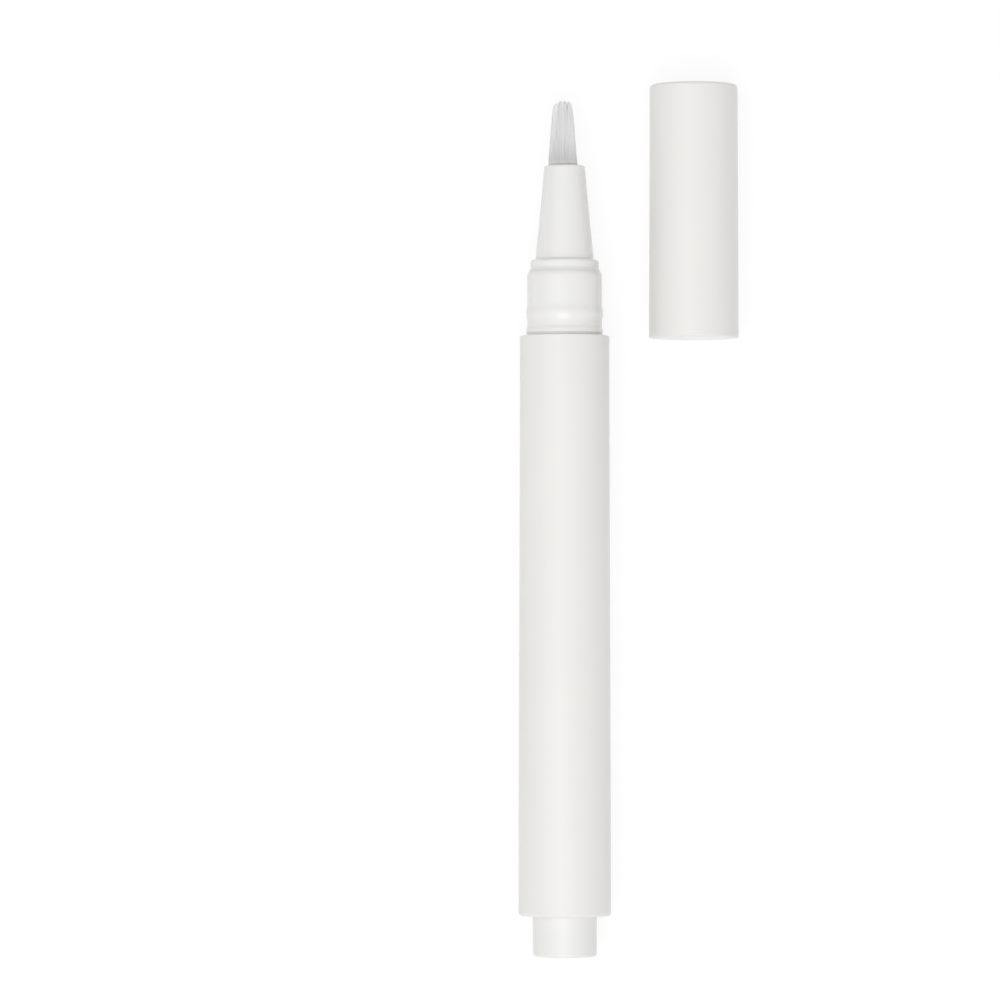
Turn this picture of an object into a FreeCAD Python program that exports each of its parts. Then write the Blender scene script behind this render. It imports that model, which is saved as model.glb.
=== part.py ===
import FreeCAD, Part
import math
import os

Vector = FreeCAD.Vector

# Barrel
barrel_length = 84.0
barrel_front_dia = 13.0
barrel_flare = 0.4
barrel_wall = 0.9
barrel_tail_wall = 0.75
tail_land_length = 8.0
front_land_length = 9.0
barrel_tail_round = 0.45
barrel_front_round = 0.15

# Neck of the reservoir tube, ahead of the barrel
neck_height = 9.35
neck_step = 0.12
neck_wall = 1.33
neck_top_round = 0.45
collar_height = 0.8
collar_round = 0.1
seam_width = 0.3
seam_depth = 0.1
bead_place = 3.26
bead_width = 2.2
bead_rise = 0.17

# Nozzle and brush
ring_height = 1.75
ring_step = 0.46
ring_round = 0.42
cone_length = 13.65
cone_base_dia = 8.47
cone_tip_dia = 5.85
cone_tip_round = 0.36
ring_foot_step = 0.22
ring_foot_height = 0.42
spigot_length = 8.5
spigot_wall = 0.88
snap_rise = 0.12
snap_width = 0.8
tuft_dia = 4.24
tuft_waist_dia = 3.66
tuft_shoulder_dia = 3.06
tuft_crown_dia = 2.5
brush_reach = 9.4
tuft_waist_drop = 5.0
tuft_shoulder_drop = 1.85
tuft_crown_drop = 0.45
tuft_root_length = 1.0
ferrule_length = 7.0
ferrule_wall = 0.42
ferrule_flange = 0.8
nozzle_lip = 2.5
pipe_dia = 1.6
pipe_bore_dia = 1.0
pipe_head_dia = 2.6
pipe_head_length = 0.8
pipe_reach = 2.8
joint_length = 8.4
joint_funnel_depth = 2.4
joint_funnel_rim = 0.5

# Button and tail
button_draft = 0.04
button_reach = 5.9
button_round = 0.4
button_wall = 0.85
button_end_wall = 1.2
press_travel = 3.5
tail_ring_wall = 1.23
tail_ring_set = 0.2
tail_ring_length = 3.8
tail_ring_round = 0.15

# Feed drive
feed_stroke = 32.0
thread_lead = 2.0
rod_bore_share = 0.434
thread_depth_share = 0.24
rod_flat_share = 0.31
thread_root_width = 1.0
thread_crest_width = 0.5
rod_arc_share = 0.32
rod_end_gap = 0.5
rod_neck_dia = 2.3
rod_neck_length = 1.2
rod_head_dia = 3.1
rod_head_length = 1.4
key_grip = 2.5
tooth_count = 12
drive_tooth_height = 1.0
lock_tooth_height = 0.6
tooth_trim_share = 0.1
rotor_disc = 3.0
rotor_tooth_width = 0.85
plunger_wall = 0.9
plunger_flange = 1.2
spigot_setback = 1.0
cam_body = 1.7
nut_length = 6.0
nut_step = 0.15
nut_lugs = 4
nut_lug_share = 0.8
guide_width = 1.6
guide_depth = 0.3
guide_key_set = 3.4
guide_key_length = 6.0
spring_wire_dia = 0.5
spring_length = 13.0
spring_turns = 7
piston_length = 7.0
piston_lip = 1.5
piston_waist_step = 0.5
piston_nose = 1.2

# Reservoir tube
tube_wall = 0.85
tube_flange = 1.2

# Cap
cap_wall = 0.85
cap_draft = 0.125
cap_top_wall = 1.2
cap_top_round = 0.4
cap_mouth_round = 0.2
cap_rib_rise = 0.16
cap_rib_place = 1.6
cap_rib_width = 0.7
cap_liner_step = 0.28
liner_wall = 0.88
liner_top_wall = 0.7
liner_seal_length = 1.5
brush_room = 0.82
cap_lay_gap = 5.55
cap_lay_back = 0.27

# Clearances
fit_gap = 0.05
seat_gap = 0.02
run_gap = 0.05
side_gap = 0.25
stop_gap = 0.3
mesh_gap = 0.15
tip_gap = 0.1
thread_gap = 0.1
piston_gap = 0.5
cap_gap = 0.06
cap_seat_gap = 0.1
spring_gap = 0.15
rod_way_gap = 0.5
weld = 0.1

# Radii, from the outside in
front_r = barrel_front_dia / 2
barrel_tail_dia = barrel_front_dia + barrel_flare
tail_r = barrel_tail_dia / 2
tail_bore_r = tail_r - barrel_tail_wall
bore_r = front_r - barrel_wall
tube_r = bore_r - fit_gap
tube_flange_r = tail_bore_r - fit_gap
neck_r = tube_r - neck_step
bead_r = neck_r + bead_rise
neck_bore_r = neck_r - neck_wall
reservoir_r = tube_r - tube_wall
drive_bore_r = reservoir_r + nut_step
guide_r = drive_bore_r + guide_depth
spigot_r = neck_bore_r - seat_gap
joint_bore_r = spigot_r - spigot_wall
ring_r = neck_r - ring_step
tuft_r = tuft_dia / 2
ferrule_bore_r = tuft_r + seat_gap
ferrule_r = ferrule_bore_r + ferrule_wall
ferrule_seat_r = ferrule_r + seat_gap
pipe_r = pipe_dia / 2
button_dia = 2 * (tail_bore_r - seat_gap - tail_ring_wall - run_gap)
button_r = button_dia / 2
button_end_r = button_r - button_draft
button_cup_r = button_end_r - button_wall
plunger_r = drive_bore_r - side_gap
plunger_bore_r = plunger_r - plunger_wall
rotor_r = drive_bore_r - side_gap
seated_r = drive_bore_r - seat_gap
piston_r = reservoir_r - run_gap
spring_r = plunger_bore_r - spring_gap - spring_wire_dia / 2
rod_r = rod_bore_share * drive_bore_r
thread_depth = thread_depth_share * rod_r
rod_flat_depth = rod_flat_share * rod_r
rod_core_r = rod_r - thread_depth
rod_flat_width = 2 * (rod_r - rod_flat_depth)
rod_way_r = rod_r + rod_way_gap
cap_bore_r = bead_r + cap_gap
cap_r = cap_bore_r + cap_wall
cap_top_r = cap_r - cap_draft
liner_seat_r = cap_bore_r - cap_liner_step
liner_r = liner_seat_r - seat_gap
liner_bore_r = liner_r - liner_wall
liner_seal_r = ring_r + run_gap

# Places along the axis, from the tail end of the barrel
button_floor = button_end_wall - button_reach
tail_ring_front = tail_ring_set + tail_ring_length
tail_snap = tail_ring_set + tail_ring_length / 2
flange_back = tail_ring_front + run_gap
flange_front = flange_back + plunger_flange
tube_back = flange_front + press_travel + stop_gap
tube_step = tube_back + tube_flange
rod_back = button_floor + press_travel + rod_end_gap
rotor_front = rod_back + feed_stroke + key_grip
rotor_back = rotor_front - rotor_disc
plunger_tip = rotor_back - mesh_gap - press_travel
plunger_root = plunger_tip - drive_tooth_height
spring_front = rotor_back - run_gap
spring_back = rotor_back - spring_length
cam_tip = rotor_front + lock_tooth_height + tip_gap
cam_root = cam_tip + lock_tooth_height
nut_back = cam_root + cam_body
nut_front = nut_back + nut_length
piston_back = nut_front + piston_gap
piston_front = piston_back + piston_length
rod_neck_back = piston_back
rod_head_back = rod_neck_back + rod_neck_length
rod_front = rod_head_back + rod_head_length
neck_top = barrel_length + neck_height
spigot_back = neck_top - spigot_length
ring_top = neck_top + ring_height
nozzle_tip = ring_top + cone_length
brush_tip = nozzle_tip + brush_reach
ferrule_front = nozzle_tip - nozzle_lip
ferrule_back = ferrule_front - ferrule_length
flange_seat = ferrule_back
joint_front = flange_seat - ferrule_flange - seat_gap
joint_back = joint_front - joint_length
pipe_front = nozzle_tip + pipe_reach
liner_mouth = neck_height - cap_seat_gap + mesh_gap
brush_depth = brush_tip - barrel_length - cap_seat_gap
cap_length = brush_depth + brush_room + liner_top_wall + seat_gap + cap_top_wall
cap_floor = cap_length - cap_top_wall

# Where the pen and the taken-off cap lie: both on the ground, side by side along Y
axis_pitch = tail_r + cap_lay_gap + cap_r
pen_x = (tail_r - cap_r - axis_pitch) / 2
cap_x = pen_x + axis_pitch
cap_mouth_place = barrel_length - cap_lay_back
layout_front = max(brush_tip, cap_mouth_place + cap_length)
tail_y = (button_reach - layout_front) / 2
cap_y = tail_y + cap_mouth_place

ARC = "arc"


def corner_cut(before, corner, after, radius):
    """Tangent points and middle of the round at one corner."""
    leg_in = (before - corner).normalize()
    leg_out = (after - corner).normalize()
    half = leg_in.getAngle(leg_out) / 2
    reach = radius / math.tan(half)
    middle = (leg_in + leg_out).normalize() * (radius / math.sin(half) - radius)
    return corner + leg_in * reach, corner + middle, corner + leg_out * reach


def outline(corners):
    """Closed wire of (radius, place) corners; a third value rounds a corner or marks a point on an arc."""
    spots = [Vector(c[0], 0, c[1]) for c in corners]
    marks = [c[2] if len(c) > 2 else 0 for c in corners]
    count = len(corners)
    starts = list(spots)
    ends = list(spots)
    edges = []
    for i in range(count):
        if marks[i] and marks[i] != ARC:
            first, middle, last = corner_cut(spots[i - 1], spots[i], spots[(i + 1) % count], marks[i])
            edges.append(Part.Arc(first, middle, last).toShape())
            starts[i] = first
            ends[i] = last
    for i in range(count):
        following = (i + 1) % count
        if marks[i] == ARC:
            edges.append(Part.Arc(ends[i - 1], spots[i], starts[following]).toShape())
        elif marks[following] != ARC:
            edges.append(Part.makeLine(ends[i], starts[following]))
    return Part.Wire(Part.__sortEdges__(edges))


def turned(*corners):
    """Solid of revolution about the pen's axis."""
    return Part.Face(outline(corners)).revolve(Vector(), Vector(0, 0, 1), 360)


def joined(first, others):
    return first.fuse(list(others)).removeSplitter().Solids[0]


def box(width, depth, back, front):
    """Block across the axis, centred on it."""
    return Part.makeBox(width, depth, front - back, Vector(-width / 2, -depth / 2, back))


def face_teeth(inner_r, outer_r, root, height, trim_share=0, tall_first=False):
    """Saw teeth in a ring; a negative height points them at the tail."""
    pitch = 2 * math.pi / tooth_count
    sink = math.copysign(weld, height)
    corner_r = inner_r / math.cos(pitch / 2)
    teeth = []
    for i in range(tooth_count):
        low = pitch * i
        tall = pitch * (i + 1 - trim_share)
        if tall_first:
            low = pitch * (i + 1)
            tall = pitch * (i + trim_share)
        crest = root + height * (1 - trim_share)
        rims = []
        for radius in (corner_r, outer_r):
            rim = [(low, root - sink), (tall, root - sink), (tall, crest), (low, root)]
            spots = [Vector(radius * math.cos(a), radius * math.sin(a), s) for a, s in rim]
            rims.append(Part.makePolygon(spots + spots[:1]))
        teeth.append(Part.makeLoft(rims, True, True))
    return teeth


def guide_keys(inner_r, back, front):
    """Two keys that slide or sit in the guide slots of the reservoir tube."""
    width = guide_width - 2 * tip_gap
    reach = 2 * (guide_r - tip_gap)
    bar = box(reach, width, back, front)
    return bar.cut(turned((0, back), (inner_r, back), (inner_r, front), (0, front)))


def thread_half(radius):
    """Half the width of the rod's thread at a radius."""
    flank = (thread_root_width - thread_crest_width) / (2 * thread_depth)
    return thread_root_width / 2 - flank * (radius - rod_core_r)


def thread_arc(turn, share, inner, outer):
    """Stretch of a screw ridge about one turn count; inner and outer are (radius, half width)."""
    spots = [(inner[0], -inner[1]), (outer[0], -outer[1]), outer, inner]
    rim = [Vector(r, 0, s) for r, s in spots]
    rise = share * thread_lead
    helix = Part.makeHelix(thread_lead, rise, rod_r)
    ridge = Part.Wire(helix.Edges).makePipeShell([Part.makePolygon(rim + rim[:1])], True, True)
    ridge.translate(Vector(0, 0, rod_back + turn * thread_lead - rise / 2))
    ridge.rotate(Vector(), Vector(0, 0, 1), 360 * (turn - share / 2))
    return ridge


def make_barrel():
    groove_r = tail_bore_r + snap_rise + run_gap
    groove_half = snap_width / 2 + run_gap
    return turned(
        (tail_bore_r, 0), (tail_r, 0, barrel_tail_round), (tail_r, tail_land_length),
        (front_r, barrel_length - front_land_length), (front_r, barrel_length, barrel_front_round),
        (bore_r, barrel_length), (bore_r, tube_step), (tail_bore_r, tube_step),
        (tail_bore_r, tail_snap + groove_half), (groove_r, tail_snap), (tail_bore_r, tail_snap - groove_half))


def make_tail_ring():
    inner_r = button_r + run_gap
    outer_r = tail_bore_r - seat_gap
    half = snap_width / 2
    return turned(
        (inner_r, tail_ring_set), (outer_r, tail_ring_set, tail_ring_round), (outer_r, tail_snap - half),
        (outer_r + snap_rise, tail_snap), (outer_r, tail_snap + half), (outer_r, tail_ring_front),
        (inner_r, tail_ring_front))


def make_push_button():
    return turned(
        (0, -button_reach), (button_end_r, -button_reach, button_round), (button_r, 0),
        (button_r, flange_back), (button_cup_r, flange_back), (button_cup_r, button_floor), (0, button_floor))


def make_cam_plunger():
    flange_r = tail_bore_r - side_gap
    spigot_end = button_floor + spigot_setback
    body = turned(
        (rod_way_r, spigot_end), (button_cup_r - seat_gap, spigot_end), (button_cup_r - seat_gap, flange_back),
        (flange_r, flange_back), (flange_r, flange_front), (plunger_r, flange_front), (plunger_r, plunger_root),
        (plunger_bore_r, plunger_root), (plunger_bore_r, spring_back), (rod_way_r, spring_back))
    teeth = face_teeth(plunger_bore_r, plunger_r, plunger_root, drive_tooth_height, tooth_trim_share, True)
    key_back = tube_back + guide_key_set
    keys = guide_keys(plunger_r - weld, key_back, key_back + guide_key_length)
    return joined(body, teeth + [keys])


def make_ratchet_rotor():
    tooth_bore_r = rotor_r - rotor_tooth_width
    body = turned((0, rotor_back), (rotor_r, rotor_back), (rotor_r, rotor_front), (0, rotor_front))
    drive = face_teeth(tooth_bore_r, rotor_r, rotor_back, -drive_tooth_height)
    lock = face_teeth(tooth_bore_r, rotor_r, rotor_front, lock_tooth_height, 0, True)
    hole_r = rod_r + thread_gap
    hole = turned((0, rotor_back), (hole_r, rotor_back), (hole_r, rotor_front), (0, rotor_front))
    slot = box(rod_flat_width + 2 * run_gap, 4 * rod_r, rotor_back, rotor_front)
    return joined(body, drive + lock).cut(hole.common(slot)).Solids[0]


def make_fixed_cam():
    inner_r = rod_way_r
    tooth_r = rotor_r - rotor_tooth_width
    body = turned((inner_r, cam_root), (seated_r, cam_root), (seated_r, nut_back), (inner_r, nut_back))
    teeth = face_teeth(tooth_r, rotor_r, cam_root, -lock_tooth_height)
    keys = guide_keys(seated_r - weld, cam_root, nut_back)
    return joined(body, teeth + [keys])


def make_screw_nut():
    crest_r = rod_core_r + thread_gap
    bore = rod_r + thread_gap
    root_r = bore + weld
    room = thread_lead / 2 - mesh_gap
    inner = (crest_r, room - thread_half(crest_r))
    outer = (root_r, room - thread_half(root_r))
    body = turned((bore, nut_back), (seated_r, nut_back), (seated_r, nut_front), (bore, nut_front))
    envelope = turned((0, nut_back), (seated_r, nut_back), (seated_r, nut_front), (0, nut_front))
    first_turn = math.floor((nut_back - rod_back) / thread_lead) - 1
    last_turn = math.ceil((nut_front - rod_back) / thread_lead) + 1
    lugs = []
    for quarter in range(nut_lugs * first_turn, nut_lugs * last_turn):
        middle = (quarter + 0.5) / nut_lugs
        lugs.append(thread_arc(middle, nut_lug_share / nut_lugs, inner, outer))
    for lug in lugs:
        lug.translate(Vector(0, 0, thread_lead / 2))
    threaded = body.fuse(lugs).common(envelope)
    return joined(threaded, [guide_keys(seated_r - weld, nut_back, nut_front)])


def make_screw_rod():
    thread_front = rod_neck_back - weld
    flats = box(rod_flat_width, 4 * rod_r, rod_back, thread_front)
    round_core = turned((0, rod_back), (rod_core_r, rod_back), (rod_core_r, thread_front), (0, thread_front))
    inner = (rod_core_r - weld, thread_half(rod_core_r - weld))
    outer = (rod_r, thread_half(rod_r))
    ridges = []
    for turn in range(1, math.floor((thread_front - rod_back) / thread_lead) - 1):
        for side in (0.25, 0.75):
            ridges.append(thread_arc(turn + side, rod_arc_share, inner, outer).common(flats))
    neck_r = rod_neck_dia / 2
    head_r = rod_head_dia / 2
    tip = turned(
        (0, thread_front - weld), (neck_r, thread_front - weld), (neck_r, rod_head_back),
        (head_r, rod_head_back), (head_r, rod_front), (0, rod_front))
    return joined(round_core.common(flats), ridges + [tip])


def make_piston():
    mouth_r = rod_neck_dia / 2 + tip_gap
    socket_r = rod_head_dia / 2 + tip_gap
    socket_back = rod_head_back - tip_gap
    socket_front = rod_front + tip_gap
    waist_r = piston_r - piston_waist_step
    return turned(
        (mouth_r, piston_back), (piston_r, piston_back), (piston_r, piston_back + piston_lip),
        (waist_r, piston_back + piston_lip), (waist_r, piston_front - piston_lip),
        (piston_r, piston_front - piston_lip), (piston_r, piston_front), (waist_r, piston_front),
        (0, piston_front + piston_nose), (0, socket_front), (socket_r, socket_front),
        (socket_r, socket_back), (mouth_r, socket_back))


def coil_point(turn, back, rise):
    angle = 2 * math.pi * turn
    spot = Vector(spring_r * math.cos(angle), spring_r * math.sin(angle), back + rise * turn)
    heading = Vector(-spring_r * math.sin(angle), spring_r * math.cos(angle), rise / (2 * math.pi))
    return spot, heading.normalize()


def arc_from(start, heading_leg, end):
    """Arc that leaves start along the leg and ends at end."""
    knee = start + heading_leg
    weight = (end - start).Length / (2 * heading_leg.Length)
    middle = (start + end + knee * (2 * weight)) * (1 / (2 + 2 * weight))
    return Part.Arc(start, middle, end).toShape()


def biarc(start, heading_a, end, heading_b):
    """Two arcs that meet smoothly between two headed points."""
    span = end - start
    both = heading_a + heading_b
    bend = 2 * (1 - heading_a.dot(heading_b))
    along = span.dot(both)
    leg = (math.sqrt(along * along + bend * span.dot(span)) - along) / bend
    middle = (start + end + (heading_a - heading_b) * leg) * 0.5
    return [arc_from(start, heading_a * leg, middle), arc_from(end, heading_b * -leg, middle)]


def make_return_spring():
    back = spring_back + spring_wire_dia / 2 + run_gap
    front = spring_front - spring_wire_dia / 2 - run_gap
    rise = (front - back) / spring_turns
    edges = []
    quarters = 4 * spring_turns
    for i in range(quarters):
        start, heading_a = coil_point(i / 4, back, rise)
        end, heading_b = coil_point((i + 1) / 4, back, rise)
        edges.extend(biarc(start, heading_a, end, heading_b))
    spot, heading = coil_point(0, back, rise)
    rim = Part.Wire([Part.makeCircle(spring_wire_dia / 2, spot, heading)])
    print("spring self gap mm", round(least_coil_gap(back, rise), 3))
    return Part.Wire(Part.__sortEdges__(edges)).makePipeShell([rim], True, False)


def least_coil_gap(back, rise):
    """Least gap between points of the wire that are half a turn or more apart."""
    steps = 72
    spots = [coil_point(i / steps, back, rise)[0] for i in range(2 * steps)]
    spans = [(b - a).Length for i, a in enumerate(spots) for b in spots[i + steps // 2:]]
    return min(spans) - spring_wire_dia


def make_reservoir_tube():
    seam_r = tube_r - seam_depth
    collar_back = barrel_length + seam_width
    collar_front = collar_back + collar_height
    bead_back = barrel_length + bead_place - bead_width / 2
    bead_front = bead_back + bead_width
    bead_middle = barrel_length + bead_place
    step = spigot_back - seat_gap
    snap_middle = neck_top - spigot_length / 2
    snap_half = snap_width / 2 + run_gap
    snap_r = neck_bore_r + snap_rise + run_gap
    body = turned(
        (drive_bore_r, tube_back), (tube_flange_r, tube_back), (tube_flange_r, tube_step - seat_gap),
        (tube_r, tube_step - seat_gap), (tube_r, barrel_length - seam_width), (seam_r, barrel_length - seam_width),
        (seam_r, collar_back), (tube_r, collar_back), (tube_r, collar_front, collar_round),
        (neck_r, collar_front), (neck_r, bead_back), (bead_r, bead_middle, ARC), (neck_r, bead_front),
        (neck_r, neck_top, neck_top_round), (neck_bore_r, neck_top), (neck_bore_r, snap_middle + snap_half),
        (snap_r, snap_middle), (neck_bore_r, snap_middle - snap_half), (neck_bore_r, step),
        (reservoir_r, step), (reservoir_r, nut_front + seat_gap), (drive_bore_r, nut_front + seat_gap))
    return body.cut(box(2 * guide_r, guide_width, tube_back, nut_front + seat_gap)).Solids[0]


def make_nozzle():
    snap_middle = neck_top - spigot_length / 2
    snap_half = snap_width / 2
    lip_r = ferrule_bore_r
    tip_r = cone_tip_dia / 2
    tip_round = min(cone_tip_round, (tip_r - lip_r) / 2)
    return turned(
        (joint_bore_r, spigot_back), (spigot_r, spigot_back), (spigot_r, snap_middle - snap_half),
        (spigot_r + snap_rise, snap_middle), (spigot_r, snap_middle + snap_half), (spigot_r, neck_top),
        (ring_r + ring_foot_step, neck_top), (ring_r, neck_top + ring_foot_height),
        (ring_r, ring_top, ring_round), (cone_base_dia / 2, ring_top),
        (tip_r, nozzle_tip, tip_round), (lip_r, nozzle_tip),
        (lip_r, ferrule_front + seat_gap), (ferrule_seat_r, ferrule_front + seat_gap),
        (ferrule_seat_r, flange_seat), (joint_bore_r, flange_seat))


def make_tuft_ferrule():
    flange_r = joint_bore_r - run_gap
    back = flange_seat - ferrule_flange
    return turned(
        (ferrule_bore_r, back), (flange_r, back), (flange_r, flange_seat - seat_gap),
        (ferrule_r, flange_seat - seat_gap), (ferrule_r, ferrule_front), (ferrule_bore_r, ferrule_front))


def make_pipe_joint():
    outer_r = joint_bore_r - seat_gap
    hole_r = pipe_r + seat_gap
    rim_r = outer_r - joint_funnel_rim
    head_r = pipe_head_dia / 2 + seat_gap
    funnel_front = joint_back + joint_funnel_depth
    head_back = funnel_front + pipe_head_length
    return turned(
        (rim_r, joint_back), (outer_r, joint_back), (outer_r, joint_front), (hole_r, joint_front),
        (hole_r, head_back), (head_r, head_back), (head_r, funnel_front))


def make_feed_pipe():
    bore_r = pipe_bore_dia / 2
    head_r = pipe_head_dia / 2
    back = joint_back + joint_funnel_depth
    head_front = back + pipe_head_length - seat_gap
    return turned(
        (bore_r, back), (head_r, back), (head_r, head_front), (pipe_r, head_front),
        (pipe_r, pipe_front), (bore_r, pipe_front))


def make_brush_tuft():
    hole_r = pipe_r + seat_gap
    hole_front = pipe_front + seat_gap
    root = flange_seat - ferrule_flange + tuft_root_length
    waist = (tuft_waist_dia / 2, brush_tip - tuft_waist_drop)
    shoulder = (tuft_shoulder_dia / 2, brush_tip - tuft_shoulder_drop)
    crown = (tuft_crown_dia / 2, brush_tip - tuft_crown_drop)
    return turned(
        (hole_r, root), (tuft_r, root), (tuft_r, nozzle_tip), waist + (ARC,), shoulder, crown,
        (0, brush_tip), (0, hole_front), (hole_r, hole_front))


def make_cap_shell():
    rib_back = cap_rib_place - cap_rib_width / 2
    rib_front = cap_rib_place + cap_rib_width / 2
    return turned(
        (cap_bore_r, 0), (cap_r, 0, cap_mouth_round), (cap_top_r, cap_length, cap_top_round), (0, cap_length),
        (0, cap_floor), (liner_seat_r, cap_floor), (liner_seat_r, liner_mouth),
        (cap_bore_r, liner_mouth - cap_liner_step), (cap_bore_r, rib_front),
        (cap_bore_r - cap_rib_rise, cap_rib_place, ARC), (cap_bore_r, rib_back))


def make_cap_liner():
    top = cap_floor - seat_gap
    seal_front = liner_mouth + liner_seal_length
    chamfer = liner_seal_r - liner_bore_r
    return turned(
        (liner_seal_r, liner_mouth), (liner_r, liner_mouth), (liner_r, top), (0, top),
        (0, top - liner_top_wall), (liner_bore_r, top - liner_top_wall), (liner_bore_r, seal_front + chamfer),
        (liner_seal_r, seal_front))


def laid(shape, x, y, z):
    """Turns the piece's axis from Z to Y and sets it on its place."""
    turn = FreeCAD.Rotation(Vector(1, 0, 0), -90)
    shape.Placement = FreeCAD.Placement(Vector(x, y, z), turn)
    return shape


PEN_PIECES = {
    "barrel": make_barrel,
    "tail_ring": make_tail_ring,
    "push_button": make_push_button,
    "cam_plunger": make_cam_plunger,
    "ratchet_rotor": make_ratchet_rotor,
    "fixed_cam": make_fixed_cam,
    "screw_nut": make_screw_nut,
    "screw_rod": make_screw_rod,
    "piston": make_piston,
    "return_spring": make_return_spring,
    "reservoir_tube": make_reservoir_tube,
    "nozzle": make_nozzle,
    "tuft_ferrule": make_tuft_ferrule,
    "pipe_joint": make_pipe_joint,
    "feed_pipe": make_feed_pipe,
    "brush_tuft": make_brush_tuft,
}
CAP_PIECES = {"cap_shell": make_cap_shell, "cap_liner": make_cap_liner}

os.makedirs("parts", exist_ok=True)
for name, make in PEN_PIECES.items():
    laid(make(), pen_x, tail_y, tail_r).exportStep("parts/" + name + ".step")
for name, make in CAP_PIECES.items():
    laid(make(), cap_x, cap_y, cap_r).exportStep("parts/" + name + ".step")
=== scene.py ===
"""Nail oil pen with its cap laid beside it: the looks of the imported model, in metres."""
import math

import bmesh
import bpy
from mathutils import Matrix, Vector


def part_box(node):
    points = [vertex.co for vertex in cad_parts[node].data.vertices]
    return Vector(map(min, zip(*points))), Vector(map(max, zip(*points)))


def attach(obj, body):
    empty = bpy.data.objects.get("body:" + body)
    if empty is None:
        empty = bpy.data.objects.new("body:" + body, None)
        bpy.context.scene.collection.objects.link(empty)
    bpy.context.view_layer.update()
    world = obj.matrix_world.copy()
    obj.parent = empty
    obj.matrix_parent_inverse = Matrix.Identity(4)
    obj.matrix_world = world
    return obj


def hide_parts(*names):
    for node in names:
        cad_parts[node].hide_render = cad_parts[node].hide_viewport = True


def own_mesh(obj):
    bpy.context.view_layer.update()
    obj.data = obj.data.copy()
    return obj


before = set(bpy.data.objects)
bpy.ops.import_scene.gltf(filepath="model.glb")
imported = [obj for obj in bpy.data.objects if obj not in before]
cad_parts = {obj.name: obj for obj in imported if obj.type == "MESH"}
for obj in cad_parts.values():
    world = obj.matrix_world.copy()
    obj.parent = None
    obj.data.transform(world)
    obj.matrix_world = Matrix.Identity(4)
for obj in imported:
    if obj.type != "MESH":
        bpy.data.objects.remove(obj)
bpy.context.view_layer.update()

MM = 0.001


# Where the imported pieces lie

def axis_of(node):
    """Middle of a turned piece across its axis, which runs along Y."""
    low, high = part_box(node)
    return Vector(((low.x + high.x) / 2, 0, (low.z + high.z) / 2))


def span_of(node, start):
    """Both ends of a piece in mm along its axis, counted from start in metres."""
    low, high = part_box(node)
    return (low.y - start) / MM, (high.y - start) / MM


def radius_of(node, across):
    """Outer radius of a turned piece in mm, measured along one axis."""
    low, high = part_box(node)
    return (high[across] - low[across]) / 2 / MM


X, Z = 0, 2
pen_axis = axis_of("barrel")
pen_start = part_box("barrel")[0].y
cap_axis = axis_of("cap_shell")
cap_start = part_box("cap_shell")[0].y

# Sizes in mm; places along the pen count from the tail end of the barrel,
# those of the cap from its mouth

running_gap = 0.05
seat_gap = 0.02
snap_half = 0.4
snap_rise = 0.12
fine_round = 0.1
floor_round = 0.2
joint_round = 0.05

barrel_front = span_of("barrel", pen_start)[1]
barrel_flare = 0.2
barrel_wall = 0.9
tail_wall = 0.75
barrel_tail_r = radius_of("barrel", Z)
barrel_front_r = barrel_tail_r - barrel_flare
barrel_bore_r = barrel_front_r - barrel_wall
tail_bore_r = barrel_tail_r - tail_wall
tail_land = 8.0
front_land = 9.0
tail_snap = 2.1
tail_round = 0.45
tail_lip_round = 0.08
front_round = 0.15
front_lip_round = 0.06

tube_back, neck_top = span_of("reservoir_tube", pen_start)
tube_r = barrel_bore_r - running_gap
tube_flange = 1.2
tube_wall = 0.85
drive_bore_relief = 0.15
drive_bore_r = tube_r - tube_wall + drive_bore_relief
drive_bore_front = span_of("screw_nut", pen_start)[1] + seat_gap
guide_slot_depth = 0.3
guide_slot_r = drive_bore_r + guide_slot_depth
guide_slot_width = 1.6
guide_slot_overrun = 1
neck_step = 0.12
neck_r = tube_r - neck_step
neck_wall = 1.33
neck_shoulder = 0.5
neck_shoulder_round = 1.4
seam_width = 0.36
seam_depth = 0.07
seam_round = 0.04
collar_height = 0.74
collar_rise = 0.03
collar_r = tube_r + collar_rise
collar_fade_back = 0.2
collar_fade_front = 0.25
collar_round = 0.4
collar_foot_round = 0.5
bead_place = 3.26
bead_middle = barrel_front + bead_place
bead_width = 2.6
bead_rise = 0.17
bead_r = neck_r + bead_rise
bead_steps = 28

nozzle_back, nozzle_tip = span_of("nozzle", pen_start)
spigot_r = neck_r - neck_wall - seat_gap
spigot_wall = 0.88
ring_step = 0.46
ring_r = neck_r - ring_step
ring_height = 1.69
ring_round = 0.45
ring_foot_step = 0.22
ring_foot_height = 0.42
ring_foot_round = 0.8
cone_base_r = 4.235
cone_foot_round = 0.3
cone_tip_r = 2.925
cone_tip_round = 0.36
nozzle_lip_round = 0.12

brush_tip = span_of("brush_tuft", pen_start)[1]
tuft_r = radius_of("brush_tuft", X)
ferrule_rim = 0.8
ferrule_wall = 0.42
ferrule_back = span_of("tuft_ferrule", pen_start)[0] + ferrule_rim
ferrule_front = span_of("tuft_ferrule", pen_start)[1]
ferrule_r = tuft_r + seat_gap + ferrule_wall
pipe_front = span_of("feed_pipe", pen_start)[1]
pipe_r = 0.8

button_end, button_front = span_of("push_button", pen_start)
button_r = radius_of("push_button", Z)
button_draft = 0.04
button_wall = 0.85
button_end_wall = 1.2
button_end_round = 0.4
ring_back, ring_front = span_of("tail_ring", pen_start)
keeper_inner_round = 0.12
keeper_outer_round = 0.15
spring_back, spring_front = span_of("return_spring", pen_start)
spring_outer_r = radius_of("return_spring", X)
spring_wire_r = 0.25
spring_turns = 7.0
spring_steps = 48
spring_sides = 12

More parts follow.
